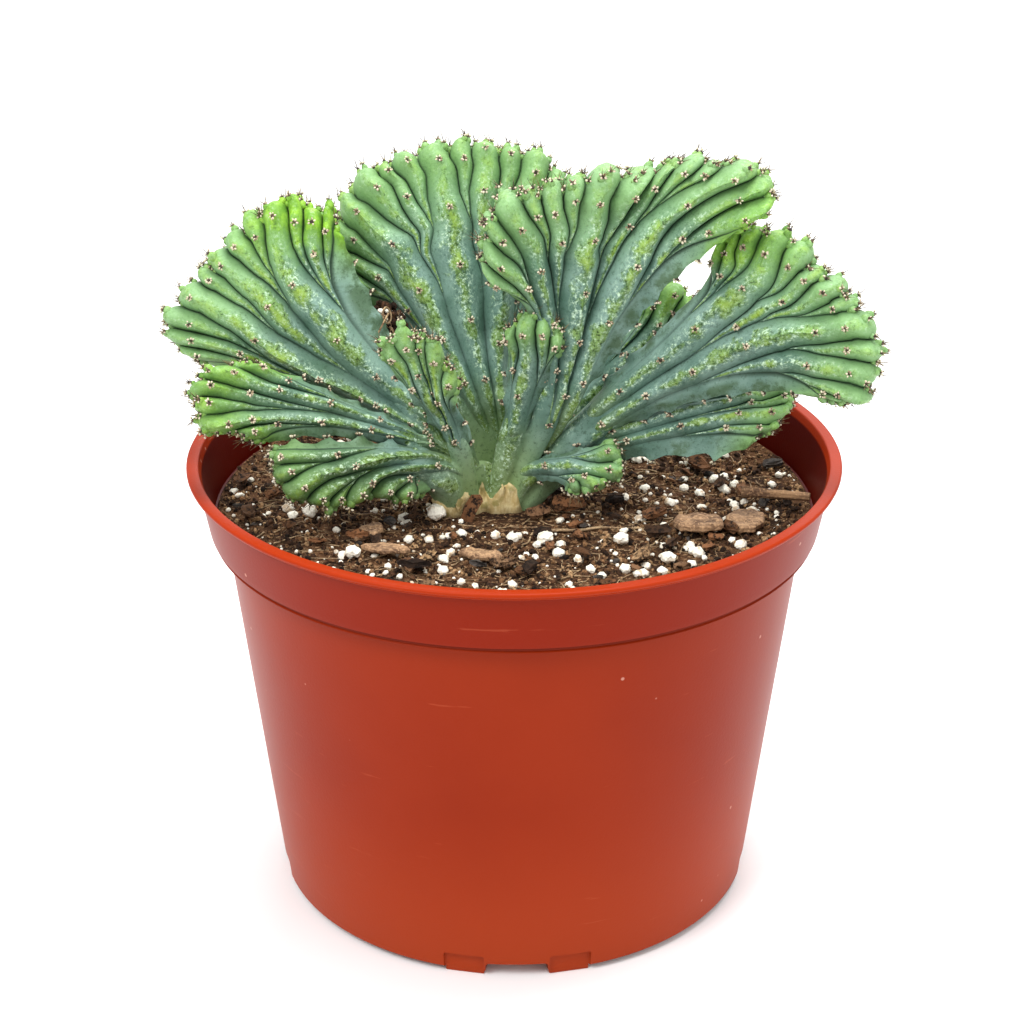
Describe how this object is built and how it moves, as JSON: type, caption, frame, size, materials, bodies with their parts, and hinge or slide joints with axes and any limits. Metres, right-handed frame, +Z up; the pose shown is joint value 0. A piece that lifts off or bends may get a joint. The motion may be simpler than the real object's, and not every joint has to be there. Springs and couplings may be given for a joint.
{
  "type": "crested blue myrtle cactus in a pot",
  "caption": "A crested blue myrtle cactus whose ribbed, fan-shaped stems spread from one short trunk, growing in gritty soil in a round terracotta-coloured plastic pot.",
  "frame": {"origin": "on the ground, on the axis of the pot, under the middle of its feet", "axes": "+Z up along the axis of the pot; -Y towards the plant's front, the side with the low frill and the small front pup; X across the spread of the fans"},
  "size_m": [0.1612, 0.1524, 0.1797],
  "materials": {
    "pot": "satin",
    "soil": "matte",
    "cactus": "satin",
    "twig": "matte",
    "bark": "matte",
    "perlite": "matte"
  },
  "bodies": {
    "root": {"pot": "pot", "soil": "soil", "cactus": "cactus", "stick": "twig", "bark_chip_1": "bark", "bark_chip_2": "bark", "bark_chip_3": "bark", "bark_chip_4": "bark", "bark_chip_5": "bark", "bark_chip_6": "bark", "perlite_1": "perlite", "perlite_2": "perlite", "perlite_3": "perlite", "perlite_4": "perlite", "perlite_5": "perlite", "perlite_6": "perlite", "perlite_7": "perlite", "perlite_8": "perlite"}
  },
  "joints": []
}
